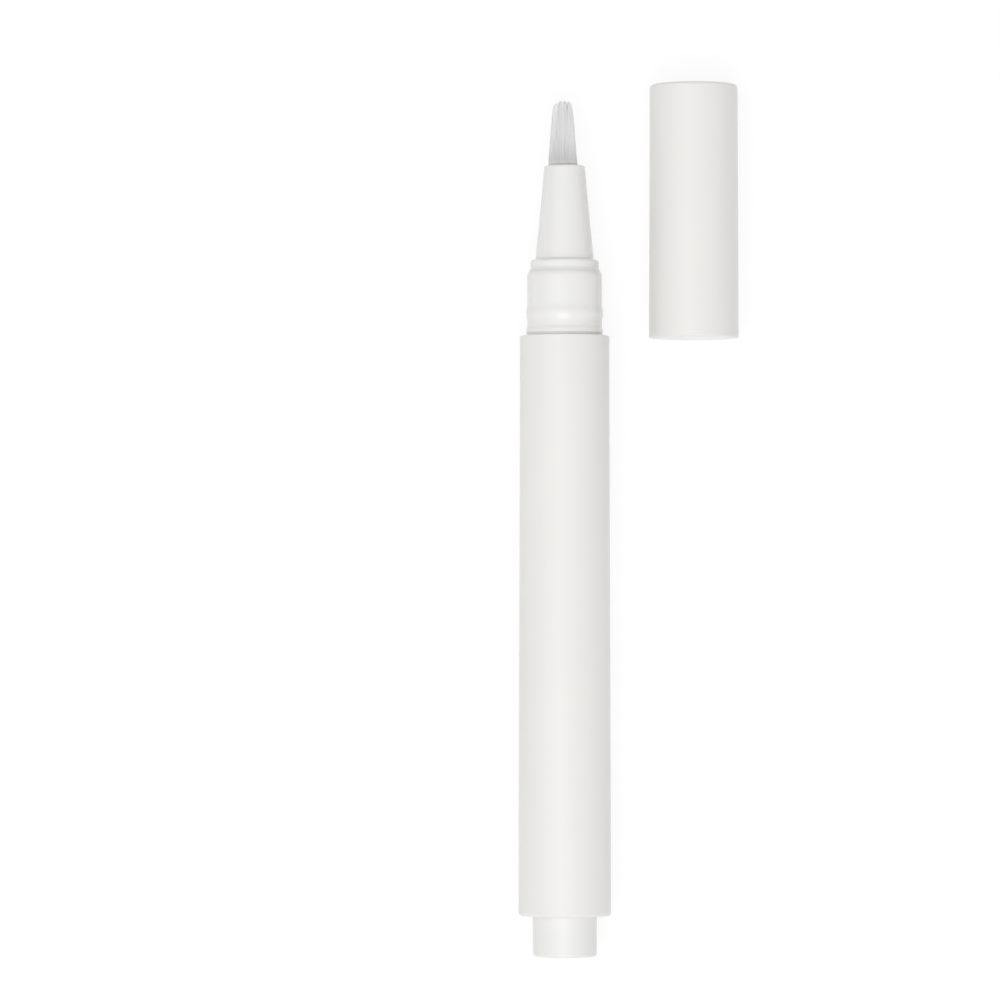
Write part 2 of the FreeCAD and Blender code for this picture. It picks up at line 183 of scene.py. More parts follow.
cap_length = span_of("cap_shell", cap_start)[1]
cap_r = radius_of("cap_shell", Z)
cap_draft = 0.125
cap_wall = 0.85
cap_bore_r = cap_r - cap_wall
cap_top_wall = 1.2
cap_top_round = 0.5
cap_mouth_round = 0.2
cap_lead_width = 0.4
cap_lead_length = 0.55
cap_lead_round = 0.4
cap_rib_rise = 0.16
cap_rib_place = 1.6
cap_rib_half = 0.35
cap_rib_steps = 10
liner_mouth, liner_top = span_of("cap_liner", cap_start)
liner_seat_step = 0.28
liner_r = cap_bore_r - liner_seat_step - seat_gap
liner_wall = 0.88
liner_top_wall = 0.7
liner_seal_r = ring_r + running_gap
liner_seal_length = 1.5

steps_round = 144
round_steps = 8
edge_support = 0.1
longest_run = 2.5
merge_distance = 1e-7


# Node and mesh helpers

def add(tree, kind, links=None, **settings):
    """New node with its settings; each link is a socket to join or a value to set."""
    made = tree.nodes.new(kind)
    for name, value in settings.items():
        setattr(made, name, value)
    for key, value in (links or {}).items():
        socket = made.inputs[key]
        if isinstance(value, bpy.types.NodeSocket):
            tree.links.new(value, socket)
        else:
            socket.default_value = value
    return made


def calc(tree, operation, *values, clamp=False):
    """Result of one Math node."""
    made = add(tree, "ShaderNodeMath", dict(enumerate(values)), operation=operation, use_clamp=clamp)
    return made.outputs[0]


def ease(tree, value, start, end):
    """Smooth step of a value from 0 at start to 1 at end."""
    made = add(tree, "ShaderNodeMapRange", {"Value": value, "From Min": start, "From Max": end},
               interpolation_type="SMOOTHSTEP")
    return made.outputs[0]


def length_of(tree, vector):
    """Length of a vector."""
    made = add(tree, "ShaderNodeVectorMath", {0: vector}, operation="LENGTH")
    return made.outputs["Value"]


def geometry_tree(name, inputs):
    """Geometry Nodes tree with named inputs: (tree, input sockets by name, output node)."""
    tree = bpy.data.node_groups.new(name, "GeometryNodeTree")
    tree.interface.new_socket("Geometry", in_out="OUTPUT", socket_type="NodeSocketGeometry")
    tree.interface.new_socket("Geometry", in_out="INPUT", socket_type="NodeSocketGeometry")
    for label, kind in inputs.items():
        tree.interface.new_socket(label, in_out="INPUT", socket_type="NodeSocket" + kind)
    given = tree.nodes.new("NodeGroupInput")
    result = tree.nodes.new("NodeGroupOutput")
    return tree, {s.name: s for s in given.outputs if s.name}, result


def close_tree(tree, geometry, material, result):
    """Last nodes of every tree: smooth faces, no instances left, the finish set."""
    smooth = add(tree, "GeometryNodeSetShadeSmooth", {"Geometry": geometry})
    real = add(tree, "GeometryNodeRealizeInstances", {"Geometry": smooth.outputs[0]})
    dressed = add(tree, "GeometryNodeSetMaterial", {
        "Geometry": real.outputs[0], "Material": material})
    tree.links.new(dressed.outputs[0], result.inputs[0])


def grown(name, start_mesh, tree, values):
    """Plain mesh piece that the tree makes from a starting mesh."""
    seed_object = bpy.data.objects.new(name + "_seed", start_mesh)
    bpy.context.scene.collection.objects.link(seed_object)
    modifier = seed_object.modifiers.new("make", "NODES")
    modifier.node_group = tree
    for socket in tree.interface.items_tree:
        if socket.in_out == "INPUT" and socket.name in values:
            modifier[socket.identifier] = values[socket.name]
    graph = bpy.context.evaluated_depsgraph_get()
    mesh = bpy.data.meshes.new_from_object(seed_object.evaluated_get(graph), depsgraph=graph)
    seed_object.modifiers.remove(modifier)
    bpy.data.objects.remove(seed_object)
    mesh.name = name
    piece = bpy.data.objects.new(name, mesh)
    bpy.context.scene.collection.objects.link(piece)
    return piece


def faces_outwards(mesh):
    """Merges doubles and turns the faces of a closed mesh outwards."""
    work = bmesh.new()
    work.from_mesh(mesh)
    bmesh.ops.remove_doubles(work, verts=work.verts, dist=merge_distance)
    bmesh.ops.recalc_face_normals(work, faces=work.faces)
    work.to_mesh(mesh)
    work.free()


def belongs(piece, body, slot, *nodes):
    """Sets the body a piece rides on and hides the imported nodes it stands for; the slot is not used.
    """
    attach(piece, body)
    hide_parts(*nodes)
    return piece


# Turned pieces: a section in mm, swept round the axis

def corner_round(corner, before, after, radius):
    """Points of the round at a corner of a section."""
    leg_in = (before - corner).normalized()
    leg_out = (after - corner).normalized()
    half = leg_in.angle(leg_out) / 2
    centre = corner + (leg_in + leg_out).normalized() * (radius / math.sin(half))
    start = corner + leg_in * (radius / math.tan(half)) - centre
    end = corner + leg_out * (radius / math.tan(half)) - centre
    sweep = start.angle_signed(end)
    turned_by = [-sweep * i / round_steps for i in range(round_steps + 1)]
    return [centre + Vector((start.x * math.cos(a) - start.y * math.sin(a),
                             start.x * math.sin(a) + start.y * math.cos(a))) for a in turned_by]


def divided(start, end):
    """Points after start up to end, with a support near both ends of a long run."""
    run = end - start
    if run.length < 4 * edge_support:
        return [end]
    inner = run.length - 2 * edge_support
    count = max(1, math.ceil(inner / longest_run))
    along = run.normalized()
    return [start + along * (edge_support + inner * i / count) for i in range(count + 1)] + [end]


def section_mesh(name, corners):
    """Section of (radius, place, round) corners as a chain of edges.

    A corner without a round stays sharp; the chain is closed unless it starts on the axis.
    """
    closed = corners[0][0] > 0
    spots = [Vector(c[:2]) for c in corners]
    points = []
    for i, corner in enumerate(corners):
        if len(corner) > 2:
            points += corner_round(spots[i], spots[i - 1], spots[(i + 1) % len(spots)], corner[2])
        else:
            points.append(spots[i])
    chain = [points[0]]
    for spot in points[1:]:
        chain += divided(chain[-1], spot)
    if closed:
        chain += divided(chain[-1], points[0])[:-1]
    mesh = bpy.data.meshes.new(name + "_section")
    edges = [(i, i + 1) for i in range(len(chain) - 1)]
    if closed:
        edges.append((len(chain) - 1, 0))
    mesh.from_pydata([(p.x * MM, p.y * MM, 0) for p in chain], edges, [])
    return mesh


def turning_tree():
    """Sweeps a section, drawn as radius and place, round an axis along Y."""
    tree, given, result = geometry_tree("turned piece", {
        "Steps round": "Int", "Path radius": "Float", "Place": "Vector", "Finish": "Material"})
    section = add(tree, "GeometryNodeMeshToCurve", {"Mesh": given["Geometry"]})
    inset = add(tree, "ShaderNodeCombineXYZ", {"X": calc(tree, "MULTIPLY", given["Path radius"], -1.0)})
    profile = add(tree, "GeometryNodeSetPosition", {
        "Geometry": section.outputs[0], "Offset": inset.outputs[0]})
    path = add(tree, "GeometryNodeCurvePrimitiveCircle", {
        "Resolution": given["Steps round"], "Radius": given["Path radius"]})
    shell = add(tree, "GeometryNodeCurveToMesh", {
        "Curve": path.outputs[0], "Profile Curve": profile.outputs[0]})
    whole = add(tree, "GeometryNodeMergeByDistance", {
        "Geometry": shell.outputs[0], "Distance": merge_distance})
    laid = add(tree, "GeometryNodeTransform", {
        "Geometry": whole.outputs[0], "Translation": given["Place"], "Rotation": (math.pi / 2, 0, 0)})
    close_tree(tree, laid.outputs[0], given["Finish"], result)
    return tree


turning = turning_tree()


def turned(name, corners, finish, axis, start):
    """Piece turned from its section, at its place on the pen's or the cap's axis."""
    place = (axis.x, start, axis.z)
    piece = grown(name, section_mesh(name, corners), turning, {
        "Steps round": steps_round, "Path radius": MM, "Place": place, "Finish": finish})
    faces_outwards(piece.data)
    return piece


# Finishes

def new_finish(name):
    """Empty material with its shader: (material, tree, shader)."""
    material = bpy.data.materials.new(name)
    material.use_nodes = True
    tree = material.node_tree
    return material, tree, tree.nodes["Principled BSDF"]


def set_inputs(shader, values):
    """Sets constants on the inputs of a shader."""
    for name, value in values.items():
        shader.inputs[name].default_value = value


def noise(tree, scale, detail=2.0, stretch=(1, 1, 1)):
    """Noise on the piece's own coordinates, from 0 to 1."""
    spot = add(tree, "ShaderNodeTexCoord").outputs["Object"]
    if stretch != (1, 1, 1):
        spot = add(tree, "ShaderNodeMapping", {"Vector": spot, "Scale": stretch}).outputs[0]
    made = add(tree, "ShaderNodeTexNoise", {"Vector": spot, "Scale": scale, "Detail": detail})
    return made.outputs[0]


def blend_colours(tree, share, first, second):
    """Colour between two, each a plain colour or a socket, by a share from 0 to 1."""
    first, second = ((*c, 1) if isinstance(c, tuple) else c for c in (first, second))
    made = add(tree, "ShaderNodeMix", {0: share, 6: first, 7: second}, data_type="RGBA")
    return made.outputs[2]


def between(tree, value, low, high):
    """Noise value, which lies mostly from 0.3 to 0.7, spread over a range."""
    made = add(tree, "ShaderNodeMapRange", {
        "Value": value, "From Min": 0.3, "From Max": 0.7, "To Min": low, "To Max": high})
    return made.outputs[0]


cloud_scale = 70.0
gloss_scale = 320.0


def moulded(name, light, deep, rough, grain, grain_depth):
    """Moulded plastic: faint tone clouds, uneven gloss and the grain of the mould."""
    material, tree, shader = new_finish(name)
    clouds = between(tree, noise(tree, cloud_scale, 3.0), 0.0, 1.0)
    tree.links.new(blend_colours(tree, clouds, light, deep), shader.inputs["Base Color"])
    gloss = between(tree, noise(tree, gloss_scale, 4.0), *rough)
    tree.links.new(gloss, shader.inputs["Roughness"])
    bump = add(tree, "ShaderNodeBump", {
        "Height": noise(tree, grain, 2.0), "Strength": 1.0, "Distance": grain_depth})
    tree.links.new(bump.outputs[0], shader.inputs["Normal"])
    return material, tree, shader


def from_cap_axis(tree):
    """Distance of a spot from the cap's axis."""
    spot = add(tree, "ShaderNodeTexCoord").outputs["Object"]
    aside = add(tree, "ShaderNodeVectorMath", {0: spot, 1: tuple(cap_axis)}, operation="SUBTRACT")
    across = add(tree, "ShaderNodeVectorMath", {0: aside.outputs[0], 1: (1, 0, 1)},
                 operation="MULTIPLY")
    return length_of(tree, across.outputs[0])


def satin_shell():
    """Warm white of the barrel and the cap: fine even grain, soft gloss, and painted light that makes
    the inside of the cap paler.
    """
    material, tree, shader = moulded(
        "satin_white_shell", light=(0.885, 0.876, 0.853), deep=(0.872, 0.864, 0.843),
        rough=(0.30, 0.35), grain=5200.0, grain_depth=1.6e-6)
    outside = shader.inputs["Base Color"].links[0].from_socket
    # painted light: the inside wall of the cap is painted paler, standing in for the light that fills
    # the cap's mouth
    outer_r, pale_r = (cap_bore_r + 0.6) * MM, (cap_bore_r + 0.35) * MM
    cap_inside_painted_light = ease(tree, from_cap_axis(tree), outer_r, pale_r)
    tone = blend_colours(tree, cap_inside_painted_light, outside, (0.975, 0.97, 0.955))
    tree.links.new(tone, shader.inputs["Base Color"])
    set_inputs(shader, {
        "Subsurface Weight": 0.08, "Subsurface Radius": (1.0, 0.9, 0.75),
        "Subsurface Scale": 0.0007, "Specular IOR Level": 0.45})
    return material


def neck_plastic():
    """Smooth white of the neck and the nozzle, a little see-through in thin walls."""
    material, _, shader = moulded(
        "smooth_white_neck", light=(0.905, 0.899, 0.885), deep=(0.894, 0.888, 0.875),
        rough=(0.20, 0.27), grain=2600.0, grain_depth=6e-7)
    set_inputs(shader, {
        "Subsurface Weight": 0.15, "Subsurface Radius": (1.0, 0.95, 0.85),
        "Subsurface Scale": 0.0012, "Specular IOR Level": 0.5})
    return material


def button_plastic():
    """Smooth white of the button and the ring round it."""
    material, _, shader = moulded(
        "smooth_white_button", light=(0.885, 0.880, 0.860), deep=(0.872, 0.868, 0.850),
        rough=(0.30, 0.35), grain=3000.0, grain_depth=8e-7)
    set_inputs(shader, {
        "Subsurface Weight": 0.1, "Subsurface Radius": (1.0, 0.92, 0.8), "Subsurface Scale": 0.0009})
    return material


def inner_plastic():
    """Natural plastic of the pieces inside."""
    material, _, shader = moulded(
        "natural_inner", light=(0.80, 0.80, 0.78), deep=(0.76, 0.76, 0.745),
        rough=(0.38, 0.48), grain=1800.0, grain_depth=2e-6)
    set_inputs(shader, {"Subsurface Weight": 0.12, "Subsurface Scale": 0.001})
    return material


def piston_rubber():
    """Soft pale seal of the piston."""
    material, _, shader = moulded(
        "soft_seal", light=(0.72, 0.72, 0.71), deep=(0.66, 0.66, 0.65),
        rough=(0.55, 0.68), grain=1400.0, grain_depth=4e-6)
    set_inputs(shader, {"Sheen Weight": 0.1})
    return material


def spring_steel():
    """Drawn wire with marks along it."""
    material, tree, shader = new_finish("drawn_wire")
    marks = noise(tree, 900.0, 3.0, (1, 0.2, 1))
    tone = blend_colours(tree, marks, (0.50, 0.50, 0.52), (0.66, 0.66, 0.67))
    tree.links.new(tone, shader.inputs["Base Color"])
    tree.links.new(between(tree, marks, 0.22, 0.36), shader.inputs["Roughness"])
    set_inputs(shader, {"Metallic": 1.0})
    return material


def pipe_plastic():
    """Grey, see-through wall of the thin feed pipe."""
    material, tree, shader = new_finish("clear_pipe")
    streaks = noise(tree, 1500.0, 2.0, (1, 0.15, 1))
    tone = blend_colours(tree, streaks, (0.62, 0.63, 0.65), (0.72, 0.73, 0.74))
    tree.links.new(tone, shader.inputs["Base Color"])
    tree.links.new(between(tree, streaks, 0.12, 0.22), shader.inputs["Roughness"])
    set_inputs(shader, {"Transmission Weight": 0.35, "IOR": 1.5})
    return material


def bristle_nylon():
    """Nylon bristles, streaked along their length.

    They are greyer towards the root and paler towards the tip. Painted light makes them paler at the
    nozzle's exit, towards the edges and to the right, and painted shade makes them greyer at the very
    tip.
    """
    material, tree, shader = new_finish("bristle_nylon")
    place = add(tree, "ShaderNodeTexCoord").outputs["Object"]
    spot = add(tree, "ShaderNodeSeparateXYZ", {"Vector": place}).outputs
    exit_place = pen_start + nozzle_tip * MM
    tip_place = pen_start + brush_tip * MM
    along = add(tree, "ShaderNodeMapRange", {
        "Value": spot["Y"], "From Min": exit_place, "From Max": tip_place}).outputs[0]
    # greyer towards the root, paler towards the tip
    rise_to_tip = calc(tree, "POWER", along, 0.6)
    # painted light: paler just past the nozzle's exit, against the shade of the lip there
    exit_painted_light = ease(tree, spot["Y"], exit_place + 0.9 * MM, exit_place + 0.1 * MM)
    # painted light: paler towards the brush's edges and to its right, in place of light through the
    # hairs and from the right side
    aside = calc(tree, "SUBTRACT", spot["X"], pen_axis.x - 0.26 * MM)
    edge_painted_light = ease(tree, calc(tree, "ABSOLUTE", aside), 0.3 * MM, 2.2 * MM)
    right_painted_light = ease(tree, aside, -0.6 * MM, 2.2 * MM)
    painted_light_share = calc(tree, "ADD", calc(tree, "MULTIPLY", edge_painted_light, 0.1),
                       calc(tree, "MULTIPLY", right_painted_light, 0.3))
    share = calc(tree, "ADD", calc(tree, "ADD", rise_to_tip, painted_light_share),
                 calc(tree, "MULTIPLY", exit_painted_light, 0.35), clamp=True)
    root_grey_tone, upper_pale_tone, tip_shade_tone = (0.49, 0.49, 0.505), (0.98, 0.98, 0.98), (0.83, 0.83, 0.835)
    root_to_tip_tone = blend_colours(tree, share, root_grey_tone, upper_pale_tone)
    streaks = noise(tree, 4200.0, 2.0, (1, 0.06, 1))
    pale = blend_colours(tree, between(tree, streaks, 0.0, 0.3), root_to_tip_tone, upper_pale_tone)
    # painted shade: the last part of each hair near the tip is painted greyer
    tip_painted_shade = ease(tree, spot["Y"], tip_place - 0.9 * MM, tip_place - 0.3 * MM)
    tone = blend_colours(tree, calc(tree, "MULTIPLY", tip_painted_shade, 0.8), pale, tip_shade_tone)
    tree.links.new(tone, shader.inputs["Base Color"])
    tree.links.new(between(tree, streaks, 0.28, 0.42), shader.inputs["Roughness"])
    set_inputs(shader, {"IOR": 1.53})
    return material


shell_finish = satin_shell()
neck_finish = neck_plastic()
button_finish = button_plastic()
inner_finish = inner_plastic()


# Pieces of the pen

def make_barrel():
    groove_r = tail_bore_r + snap_rise + running_gap
    groove_half = snap_half + running_gap
    step = tube_back + tube_flange
    piece = turned("barrel_sleeve", [
        (tail_bore_r, 0, tail_lip_round), (barrel_tail_r, 0, tail_round), (barrel_tail_r, tail_land),
        (barrel_front_r, barrel_front - front_land), (barrel_front_r, barrel_front, front_round),
        (barrel_bore_r, barrel_front, front_lip_round), (barrel_bore_r, step), (tail_bore_r, step),
        (tail_bore_r, tail_snap + groove_half), (groove_r, tail_snap),
        (tail_bore_r, tail_snap - groove_half)],
        shell_finish, pen_axis, pen_start)
    return belongs(piece, "pen_body", "satin_shell", "barrel")


def bead_swell():
    """Points across the cap bead, a swell whose feet run smoothly into the neck."""
    half = bead_width / 2
    rise = bead_r - neck_r
    ways = [2 * i / bead_steps - 1 for i in range(bead_steps + 1)]
    return [(neck_r + rise * (0.5 + 0.5 * math.cos(math.pi * w)), bead_middle + half * w)
            for w in ways]


def cut_guide_slots(piece):
    """Cuts the two slots that guide the plunger and the nut inside the tube."""
    low = pen_start + (tube_back - guide_slot_overrun) * MM
    high = pen_start + drive_bore_front * MM
    cutter_mesh = bpy.data.meshes.new("guide_slot_cut")
    work = bmesh.new()
    bmesh.ops.create_cube(work, size=1)
    for vert in work.verts:
        vert.co = Vector((pen_axis.x + vert.co.x * 2 * guide_slot_r * MM,
                          low + (vert.co.y + 0.5) * (high - low),
                          pen_axis.z + vert.co.z * guide_slot_width * MM))
    work.to_mesh(cutter_mesh)
    work.free()
    cutter = bpy.data.objects.new("guide_slot_cut", cutter_mesh)
    bpy.context.scene.collection.objects.link(cutter)
    cut = piece.modifiers.new("guide slots", "BOOLEAN")
    cut.operation = "DIFFERENCE"
    cut.solver = "EXACT"
    cut.object = cutter
    graph = bpy.context.evaluated_depsgraph_get()
    mesh = bpy.data.meshes.new_from_object(piece.evaluated_get(graph), depsgraph=graph)
    piece.modifiers.remove(cut)
    piece.data = mesh
    bpy.data.objects.remove(cutter)


def make_neck():
    """Reservoir tube, whose front end is the neck with the cap bead."""
    seam_r = tube_r - seam_depth
    collar_back = barrel_front + seam_width
    collar_front = collar_back + collar_height
    bore_r = neck_r - neck_wall
    step = nozzle_back - seat_gap
    snap_middle = (nozzle_back + neck_top) / 2
    snap_r = bore_r + snap_rise + running_gap
    groove_half = snap_half + running_gap
    reservoir_r = tube_r - tube_wall
    flange_r = tail_bore_r - running_gap
    flange_front = tube_back + tube_flange - seat_gap
    seam_back = barrel_front - seam_width
    piece = turned("neck_and_reservoir", [
        (drive_bore_r, tube_back), (flange_r, tube_back), (flange_r, flange_front),
        (tube_r, flange_front), (tube_r, seam_back), (seam_r, seam_back),
        (seam_r, collar_back, seam_round), (collar_r, collar_back, fine_round),
        (collar_r, collar_front - collar_fade_back, collar_round),
        (neck_r, collar_front + collar_fade_front, collar_foot_round), *bead_swell(),
        (neck_r, neck_top - neck_shoulder, neck_shoulder_round),
        (ring_r + ring_foot_step, neck_top, joint_round), (bore_r, neck_top, fine_round),
        (bore_r, snap_middle + groove_half), (snap_r, snap_middle),
        (bore_r, snap_middle - groove_half), (bore_r, step), (reservoir_r, step),
        (reservoir_r, drive_bore_front), (drive_bore_r, drive_bore_front)],
        neck_finish, pen_axis, pen_start)
    cut_guide_slots(piece)
    return belongs(piece, "pen_body", "neck_plastic", "reservoir_tube")


def make_nozzle():
    bore_r = spigot_r - spigot_wall
    snap_middle = (nozzle_back + neck_top) / 2
    ring_top = neck_top + ring_height
    lip_r = tuft_r + seat_gap
    seat_r = ferrule_r + seat_gap
    piece = turned("nozzle_cone", [
        (bore_r, nozzle_back), (spigot_r, nozzle_back, fine_round),
        (spigot_r, snap_middle - snap_half), (spigot_r + snap_rise, snap_middle),
        (spigot_r, snap_middle + snap_half), (spigot_r, neck_top),
        (ring_r + ring_foot_step, neck_top, joint_round),
        (ring_r, neck_top + ring_foot_height, ring_foot_round), (ring_r, ring_top, ring_round),
        (cone_base_r, ring_top, cone_foot_round), (cone_tip_r, nozzle_tip, cone_tip_round),
        (lip_r, nozzle_tip, nozzle_lip_round), (lip_r, ferrule_front + seat_gap),
        (seat_r, ferrule_front + seat_gap), (seat_r, ferrule_back), (bore_r, ferrule_back)],
        neck_finish, pen_axis, pen_start)
    return belongs(piece, "pen_body", "neck_plastic", "nozzle")


def make_button():
    cup_r = button_r - button_draft - button_wall
    floor = button_end + button_end_wall
    piece = turned("push_button_cap", [
        (0, button_end), (button_r - button_draft, button_end, button_end_round), (button_r, 0),
        (button_r, button_front, fine_round), (cup_r, button_front, fine_round),
        (cup_r, floor, floor_round), (0, floor)],
        button_finish, pen_axis, pen_start)
    return belongs(piece, "button", "button_plastic", "push_button")


def make_tail_ring():
    inner_r = button_r + running_gap
    outer_r = tail_bore_r - seat_gap
    piece = turned("tail_keeper_ring", [
        (inner_r, ring_back, keeper_inner_round), (outer_r, ring_back, keeper_outer_round),
        (outer_r, tail_snap - snap_half), (outer_r + snap_rise, tail_snap),
        (outer_r, tail_snap + snap_half), (outer_r, ring_front, fine_round),
        (inner_r, ring_front, fine_round)],
        button_finish, pen_axis, pen_start)
    return belongs(piece, "pen_body", "button_plastic", "tail_ring")


def spring_tree():
    """Coil of round wire along Y."""
    tree, given, result = geometry_tree("return spring", {
        "Turns": "Float", "Coil radius": "Float", "Coil height": "Float", "Wire radius": "Float",
        "Place": "Vector", "Finish": "Material"})
    coil = add(tree, "GeometryNodeCurveSpiral", {
        "Resolution": spring_steps, "Rotations": given["Turns"], "Start Radius": given["Coil radius"],
        "End Radius": given["Coil radius"], "Height": given["Coil height"], "Reverse": True})
    wire = add(tree, "GeometryNodeCurvePrimitiveCircle", {
        "Resolution": spring_sides, "Radius": given["Wire radius"]})
    wound = add(tree, "GeometryNodeCurveToMesh", {
        "Curve": coil.outputs[0], "Profile Curve": wire.outputs[0], "Fill Caps": True})
    laid = add(tree, "GeometryNodeTransform", {
        "Geometry": wound.outputs[0], "Translation": given["Place"], "Rotation": (-math.pi / 2, 0, 0)})
    close_tree(tree, laid.outputs[0], given["Finish"], result)
    return tree


def make_return_spring():
    """Spring between the plunger and the rotor, which a press of the button would shorten; here it is
    made at one length.
    """
    length = spring_front - spring_back
    coil_back = pen_start + (spring_back + spring_wire_r) * MM
    piece = grown("return_spring_coil", bpy.data.meshes.new("spring_seed"), spring_tree(), {
        "Turns": spring_turns, "Coil radius": (spring_outer_r - spring_wire_r) * MM,
        "Coil height": (length - 2 * spring_wire_r) * MM, "Wire radius": spring_wire_r * MM,
        "Place": (pen_axis.x, coil_back, pen_axis.z), "Finish": spring_steel()})
    faces_outwards(piece.data)
    belongs(piece, "pen_body", "spring_steel", "return_spring")
    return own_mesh(piece)


# Pieces of the cap

def rib_arc():
    """Points across the snap rib inside the cap's mouth, from the front foot to the back one."""
    radius = (cap_rib_half ** 2 + cap_rib_rise ** 2) / (2 * cap_rib_rise)
    reach = math.asin(cap_rib_half / radius)
    turns = [reach * (1 - 2 * i / cap_rib_steps) for i in range(cap_rib_steps + 1)]
    middle_r = cap_bore_r - cap_rib_rise + radius
    return [(middle_r - radius * math.cos(a), cap_rib_place + radius * math.sin(a))
            for a in turns]


def make_cap_shell():
    floor = cap_length - cap_top_wall
    seat_r = cap_bore_r - liner_seat_step
    piece = turned("cap_sleeve", [
        (0, cap_length), (cap_r - cap_draft, cap_length, cap_top_round), (cap_r, 0, cap_mouth_round),
        (cap_bore_r + cap_lead_width, 0, fine_round), (cap_bore_r, cap_lead_length, cap_lead_round),
        *reversed(rib_arc()), (cap_bore_r, liner_mouth - liner_seat_step), (seat_r, liner_mouth),
        (seat_r, floor), (0, floor)],
        shell_finish, cap_axis, cap_start)
    return belongs(piece, "cap", "satin_shell", "cap_shell")


def make_cap_liner():
    bore_r = liner_r - liner_wall
    seal_front = liner_mouth + liner_seal_length
    floor = liner_top - liner_top_wall
    piece = turned("cap_seal_cup", [
        (0, liner_top), (liner_r, liner_top, fine_round), (liner_r, liner_mouth, fine_round),
        (liner_seal_r, liner_mouth, fine_round), (liner_seal_r, seal_front),
        (bore_r, seal_front + liner_seal_r - bore_r), (bore_r, floor, floor_round), (0, floor)],
        inner_finish, cap_axis, cap_start)
    return belongs(piece, "cap", "inner_plastic", "cap_liner")


# Brush

hair_count = 760
hair_r = 0.075
hair_sides = 5
hair_points = 16
hair_root = ferrule_front - 0.5
hair_thinning = 0.45
bend_power = 2.5
edge_power = 8.0
gather_power = 24.0
tuft_play = 0.1
left_from, left_to = -0.4, -0.55
golden_turn = math.pi * (3 - math.sqrt(5))


def split(tree, vector):
    """Outputs X, Y and Z of a vector."""
    return add(tree, "ShaderNodeSeparateXYZ", {"Vector": vector}).outputs


def joined(tree, **parts):
    """Vector of its given parts X, Y and Z."""
    return add(tree, "ShaderNodeCombineXYZ", parts).outputs[0]


def chance(tree, vector):
    """Three values from 0 to 1 that belong to a vector by chance."""
    made = add(tree, "ShaderNodeTexWhiteNoise", {"Vector": vector}, noise_dimensions="3D")
    return split(tree, made.outputs["Color"])


def tuft_centre(tree, place, luck, size):
    """Middle of a small tuft on the grid of tufts, a little off by luck."""
    uneven = calc(tree, "MULTIPLY_ADD", luck, tuft_play, (1 - tuft_play) / 2)
    return calc(tree, "MULTIPLY", calc(tree, "ADD", place, uneven), size)


def drawn_in(tree, given, height):
    """How far the bundle has drawn in at a height: a straight taper, then a bend near the tip."""
    past_bend = calc(tree, "MAXIMUM", calc(tree, "SUBTRACT", height, given["Bend start"]), 0.0)
    bend = calc(tree, "MULTIPLY", calc(tree, "POWER", past_bend, bend_power), given["Tip bend"])
    free = calc(tree, "MAXIMUM", calc(tree, "SUBTRACT", height, given["Free from"]), 0.0)
    return calc(tree, "ADD", calc(tree, "MULTIPLY", free, given["Taper"]), bend)


def planted_hairs(tree, given):
    """Straight hairs of full length, spread evenly round the feed pipe."""
    index = add(tree, "GeometryNodeInputIndex").outputs[0]
    share = calc(tree, "DIVIDE", calc(tree, "ADD", index, 0.5), given["Hairs"])
    inner_square = calc(tree, "POWER", given["Inner radius"], 2.0)
    root_square = calc(tree, "POWER", given["Root radius"], 2.0)
    spread = calc(tree, "MULTIPLY", share, calc(tree, "SUBTRACT", root_square, inner_square))
    ring = calc(tree, "SQRT", calc(tree, "ADD", inner_square, spread))
    angle = calc(tree, "MULTIPLY", index, golden_turn)
    root = joined(tree, X=calc(tree, "MULTIPLY", ring, calc(tree, "COSINE", angle)),
                  Z=calc(tree, "MULTIPLY", ring, calc(tree, "SINE", angle)))
    points = add(tree, "GeometryNodePoints", {"Count": given["Hairs"]})
    roots = add(tree, "GeometryNodeSetPosition", {
        "Geometry": points.outputs[0], "Position": root})
    line = add(tree, "GeometryNodeCurvePrimitiveLine", {"End": joined(tree, Y=given["Length"])})
    hair = add(tree, "GeometryNodeResampleCurve", {"Curve": line.outputs[0], "Count": hair_points})
    planted = add(tree, "GeometryNodeInstanceOnPoints", {
        "Points": roots.outputs[0], "Instance": hair.outputs[0]})
    straight = add(tree, "GeometryNodeRealizeInstances", {"Geometry": planted.outputs[0]})
    return straight.outputs[0]


